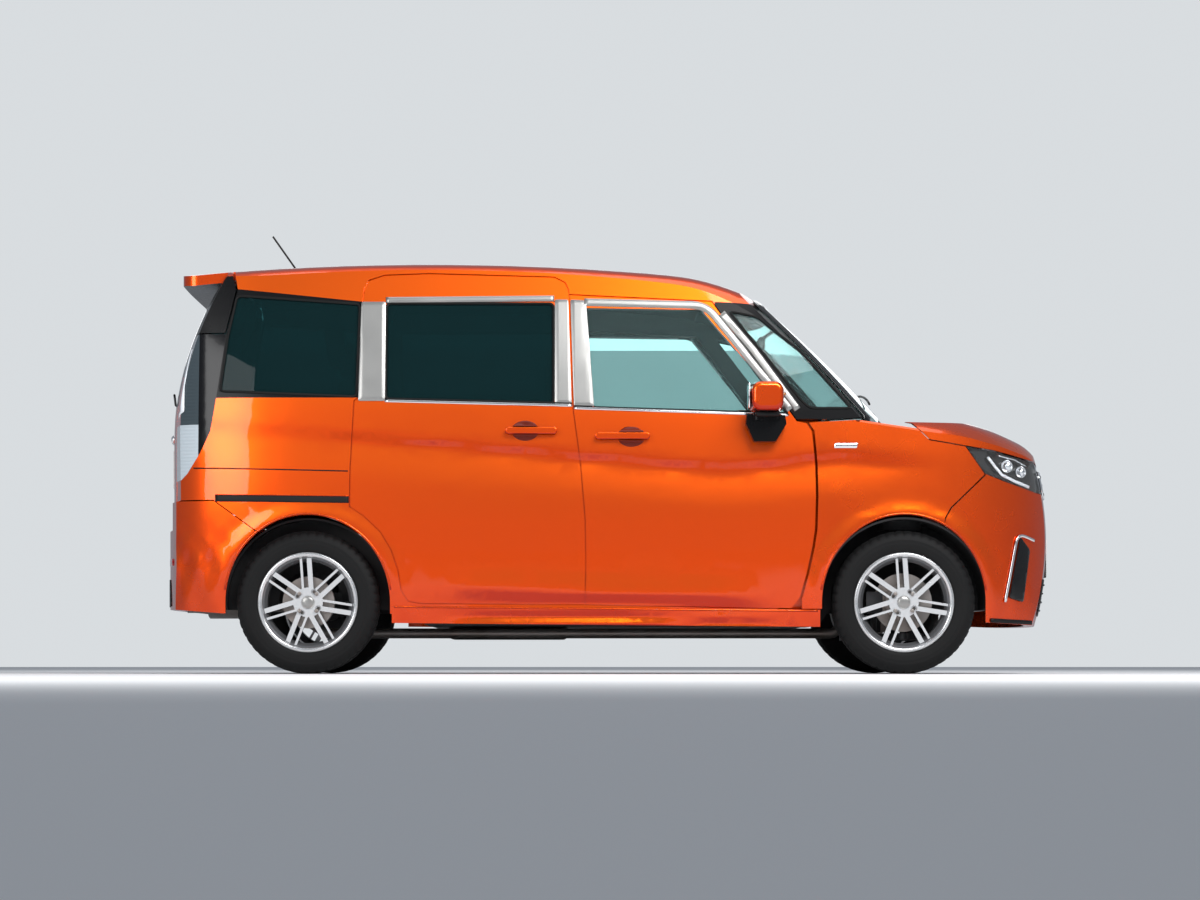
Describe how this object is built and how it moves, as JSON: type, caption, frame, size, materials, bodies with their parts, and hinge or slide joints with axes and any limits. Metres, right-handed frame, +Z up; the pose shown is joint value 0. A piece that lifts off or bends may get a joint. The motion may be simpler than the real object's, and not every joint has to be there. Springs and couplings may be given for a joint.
{
  "type": "compact minivan",
  "caption": "Tall compact passenger van body with swinging front doors, sliding rear doors, lifting tailgate and bonnet, steered front wheels and paired-spoke alloy wheels.",
  "frame": {"origin": "on the ground, midway between the bumpers and the sides", "axes": "+X forward along the length, +Y to the vehicle's left, +Z up"},
  "size_m": [3.79, 2.021, 1.9138],
  "materials": {
    "body_paint": "gloss orange metallic",
    "underbody_steel": "dull black sealed",
    "clear_glass": "green tinted",
    "privacy_glass": "dark tinted",
    "lamp_lens": "clear lens",
    "tail_lens": "red and clear lens",
    "black_trim": "fine grain",
    "dash_plastic": "grained",
    "seat_cloth": "woven",
    "cast_block": "cast",
    "chassis_iron": "painted black",
    "brake_steel": "machined",
    "rim_alloy": "machined face",
    "tyre": "rubber"
  },
  "bodies": {
    "body": {"underbody": "underbody_steel", "side_frames": "body_paint", "sill_skirts": "body_paint", "roof_panel": "body_paint", "windscreen": "clear_glass", "front_quarter_glass": "clear_glass", "privacy_glass": "privacy_glass", "sliding_doors": "body_paint", "front_fenders": "body_paint", "headlamps": "lamp_lens", "front_bumper": "body_paint", "grille": "black_trim", "cowl": "black_trim", "tail_lamps": "tail_lens", "rear_bumper": "body_paint", "dashboard": "dash_plastic", "front_seats": "seat_cloth", "rear_seats": "seat_cloth", "engine_block": "cast_block", "drive_shafts": "chassis_iron", "exhaust": "brake_steel", "fuel_tank": "black_trim", "front_subframe": "chassis_iron", "rear_axle": "chassis_iron", "antenna": "black_trim"},
    "door_right": {"front_door_right": "body_paint", "front_door_glass_right": "clear_glass", "door_mirror_right": "body_paint"},
    "door_left": {"front_door_left": "body_paint", "front_door_glass_left": "clear_glass", "door_mirror_left": "body_paint"},
    "bonnet_lid": {"bonnet": "body_paint"},
    "tailgate_lid": {"tailgate": "body_paint", "tailgate_glass": "privacy_glass", "roof_spoiler": "body_paint"},
    "knuckle_right": {"knuckle_right": "chassis_iron"},
    "wheel_front_right": {"rim_front_right": "rim_alloy", "tyre_front_right": "tyre", "front_disc_right": "brake_steel"},
    "wheel_rear_right": {"rim_rear_right": "rim_alloy", "tyre_rear_right": "tyre", "rear_drum_right": "brake_steel"},
    "knuckle_left": {"knuckle_left": "chassis_iron"},
    "wheel_front_left": {"rim_front_left": "rim_alloy", "tyre_front_left": "tyre", "front_disc_left": "brake_steel"},
    "wheel_rear_left": {"rim_rear_left": "rim_alloy", "tyre_rear_left": "tyre", "rear_drum_left": "brake_steel"},
    "steering": {"steering_wheel": "dash_plastic"}
  },
  "joints": [
    {"name": "door_hinge_right", "type": "hinge", "parent": "body", "child": "door_right", "pos_m": [0.785, -0.7955, 0.565], "axis": [0, 0, 1], "range_deg": [0, 65]},
    {"name": "door_hinge_left", "type": "hinge", "parent": "body", "child": "door_left", "pos_m": [0.785, 0.7955, 0.565], "axis": [0, 0, -1], "range_deg": [0, 65]},
    {"name": "bonnet_hinge", "type": "hinge", "parent": "body", "child": "bonnet_lid", "pos_m": [1.19, 0, 1.115], "axis": [0, -1, 0], "range_deg": [0, 50]},
    {"name": "tailgate_hinge", "type": "hinge", "parent": "body", "child": "tailgate_lid", "pos_m": [-1.59, 0, 1.713], "axis": [0, 1, 0], "range_deg": [0, 85]},
    {"name": "kingpin_right", "type": "hinge", "parent": "body", "child": "knuckle_right", "pos_m": [1.225, -0.67, 0.298], "axis": [0, 0.1822, 0.9833], "range_deg": [-35, 35]},
    {"name": "wheel_spin_front_right", "type": "hinge", "parent": "knuckle_right", "child": "wheel_front_right", "pos_m": [1.225, -0.72, 0.298], "axis": [0, 1, 0], "continuous": true},
    {"name": "wheel_spin_rear_right", "type": "hinge", "parent": "body", "child": "wheel_rear_right", "pos_m": [-1.255, -0.72, 0.298], "axis": [0, 1, 0], "continuous": true},
    {"name": "kingpin_left", "type": "hinge", "parent": "body", "child": "knuckle_left", "pos_m": [1.225, 0.67, 0.298], "axis": [0, -0.1822, 0.9833], "range_deg": [-35, 35]},
    {"name": "wheel_spin_front_left", "type": "hinge", "parent": "knuckle_left", "child": "wheel_front_left", "pos_m": [1.225, 0.72, 0.298], "axis": [0, 1, 0], "continuous": true},
    {"name": "wheel_spin_rear_left", "type": "hinge", "parent": "body", "child": "wheel_rear_left", "pos_m": [-1.255, 0.72, 0.298], "axis": [0, 1, 0], "continuous": true},
    {"name": "steering_column", "type": "hinge", "parent": "body", "child": "steering", "pos_m": [0.375, -0.37, 0.92], "axis": [-0.9063, 0, 0.4226], "range_deg": [-540, 540]}
  ],
  "couplings": [
    {"joint": "kingpin_left", "follows": "kingpin_right", "ratio": 1}
  ]
}
